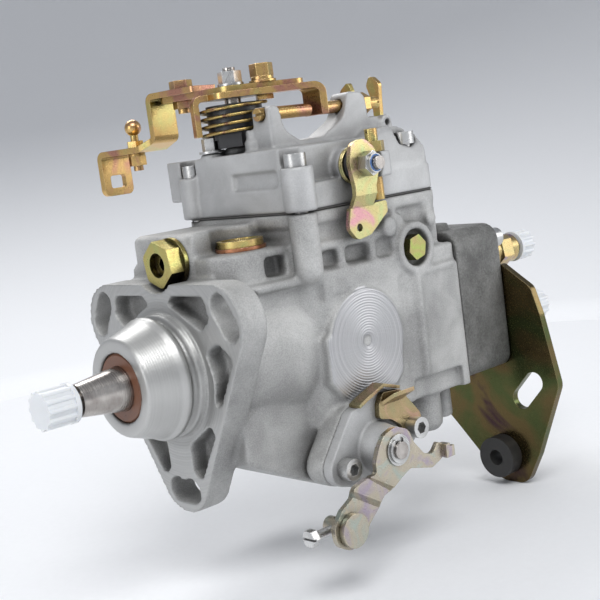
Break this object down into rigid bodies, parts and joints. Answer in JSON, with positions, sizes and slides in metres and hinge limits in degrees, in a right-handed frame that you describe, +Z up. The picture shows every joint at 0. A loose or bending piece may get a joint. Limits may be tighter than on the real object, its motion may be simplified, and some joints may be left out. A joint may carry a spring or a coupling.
{
  "type": "diesel injection pump",
  "caption": "Rotary distributor diesel injection pump: slotted flange, keyed taper shaft, governor cover with levers, side cold start lever, rear outlet unions and support bracket.",
  "frame": {"origin": "on the drive shaft's axis, in the plane of the mounting flange's front face", "axes": "-X points out of the nose along the drive shaft, +X towards the outlets, -Y to the side with the cold start lever, +Z up to the throttle levers"},
  "size_m": [0.3133, 0.1787, 0.2355],
  "materials": {
    "cast_housing": "light grey cast aluminium with a fine grain",
    "cast_cover": "smooth light grey cast aluminium",
    "cast_head": "rough dark grey",
    "seal_rubber": "dark brown, smooth",
    "bronze": "sintered bronze, dull",
    "shaft_steel": "ground steel",
    "clear_plastic": "milky translucent plastic",
    "inner_steel": "turned and ground steel",
    "silver_zinc": "bright zinc plate",
    "gold_zinc": "yellow passivated zinc with green and pink bloom",
    "stop_zinc": "yellow green passivated zinc",
    "dark_zinc": "dark gold passivated zinc with violet bloom",
    "copper": "annealed copper",
    "black_plastic": "black moulded plastic",
    "black_rubber": "black rubber",
    "gasket_paper": "dark compressed paper"
  },
  "bodies": {
    "housing": {"pump_housing": "cast_housing", "shaft_seal": "seal_rubber", "shaft_bush": "bronze", "feed_pump_ring": "inner_steel", "feed_pump_plate": "inner_steel", "governor_axle": "inner_steel", "fulcrum_bolts": "silver_zinc", "timing_spring": "inner_steel", "timing_cover": "cast_cover", "distributor_head": "cast_head", "distributor_barrel": "inner_steel", "head_plugs": "silver_zinc", "valve_holders": "gold_zinc", "delivery_valves": "inner_steel", "valve_caps": "clear_plastic", "governor_cover": "cast_cover", "cover_gasket": "gasket_paper", "fixing_screws": "silver_zinc", "inlet_washer": "copper", "inlet_plug": "gold_zinc", "regulating_valve": "gold_zinc", "adjusting_screws": "silver_zinc", "spring_guide": "black_plastic", "throttle_spring": "gold_zinc", "cable_bracket": "gold_zinc", "stop_boot": "black_rubber", "stop_spring": "gold_zinc", "cold_start_cover": "cast_cover", "cold_start_bracket": "gold_zinc", "rear_bracket": "dark_zinc", "bracket_bush": "bronze"},
    "drive": {"drive_shaft": "shaft_steel", "shaft_key": "shaft_steel", "shaft_cap": "clear_plastic", "feed_pump_rotor": "inner_steel", "governor_drive_gear": "inner_steel"},
    "cam": {"cam_disc": "inner_steel", "plunger": "inner_steel"},
    "ring": {"roller_ring": "inner_steel", "rollers": "inner_steel"},
    "piston": {"timing_piston": "inner_steel"},
    "governor": {"flyweight_cage": "inner_steel", "flyweights": "inner_steel"},
    "sleeve": {"governor_sleeve": "inner_steel"},
    "lever": {"governor_lever": "inner_steel"},
    "collar": {"control_collar": "inner_steel"},
    "throttle": {"throttle_shaft": "shaft_steel", "throttle_lever": "gold_zinc", "throttle_strap": "gold_zinc", "throttle_nut": "silver_zinc", "strap_bolt": "silver_zinc", "ball_stud": "silver_zinc"},
    "stop": {"stop_shaft": "shaft_steel", "stop_lever": "stop_zinc", "stop_nut": "silver_zinc"},
    "cold_start": {"cold_start_shaft": "shaft_steel", "cold_start_lever": "gold_zinc", "cold_start_clip": "gold_zinc"},
    "cable": {"cable_pin": "shaft_steel", "cable_screw": "silver_zinc"}
  },
  "joints": [
    {"name": "drive_spin", "type": "hinge", "parent": "housing", "child": "drive", "pos_m": [0, 0, 0], "axis": [1, 0, 0], "continuous": true},
    {"name": "cam_stroke", "type": "slide", "parent": "drive", "child": "cam", "axis": [-1, 0, 0], "range_m": [0, 0.0025]},
    {"name": "timing_turn", "type": "hinge", "parent": "housing", "child": "ring", "pos_m": [0.0715, 0, 0], "axis": [1, 0, 0], "range_deg": [0, 8.4]},
    {"name": "timing_piston_slide", "type": "slide", "parent": "housing", "child": "piston", "axis": [0, 1, 0], "range_m": [0, 0.007]},
    {"name": "governor_spin", "type": "hinge", "parent": "housing", "child": "governor", "pos_m": [0.06, 0, 0.054], "axis": [1, 0, 0], "continuous": true},
    {"name": "sleeve_slide", "type": "slide", "parent": "governor", "child": "sleeve", "axis": [1, 0, 0], "range_m": [0, 0.003]},
    {"name": "governor_lever_swing", "type": "hinge", "parent": "housing", "child": "lever", "pos_m": [0.1224, 0, 0.0374], "axis": [0, 1, 0], "range_deg": [0, 11.2]},
    {"name": "collar_slide", "type": "slide", "parent": "housing", "child": "collar", "axis": [1, 0, 0], "range_m": [-0.0054, 0]},
    {"name": "throttle_swing", "type": "hinge", "parent": "housing", "child": "throttle", "pos_m": [0.069, 0.012, 0.1], "axis": [0, 0, 1], "range_deg": [-7.5, 0], "stiffness_Nm_per_rad": 0.5, "springref_deg": 45.84},
    {"name": "stop_swing", "type": "hinge", "parent": "housing", "child": "stop", "pos_m": [0.0875, -0.045, 0.081], "axis": [0, 1, 0], "range_deg": [0, 24], "stiffness_Nm_per_rad": 0.2, "springref_deg": -28.65},
    {"name": "cold_start_swing", "type": "hinge", "parent": "housing", "child": "cold_start", "pos_m": [0.0715, -0.06, -0.0475], "axis": [0, 1, 0], "range_deg": [0, 20], "stiffness_Nm_per_rad": 0.3, "springref_deg": -22.92},
    {"name": "cable_pin_swivel", "type": "hinge", "parent": "cold_start", "child": "cable", "pos_m": [0.031, -0.068, -0.0706], "axis": [0, 1, 0], "range_deg": [-30, 30]}
  ],
  "couplings": [
    {"joint": "timing_piston_slide", "follows": "timing_turn", "m_per_rad": 0.0475},
    {"joint": "governor_spin", "follows": "drive_spin", "ratio": -1.25},
    {"joint": "governor_lever_swing", "follows": "sleeve_slide", "rad_per_m": 64.6},
    {"joint": "collar_slide", "follows": "sleeve_slide", "ratio": -1.7713}
  ]
}
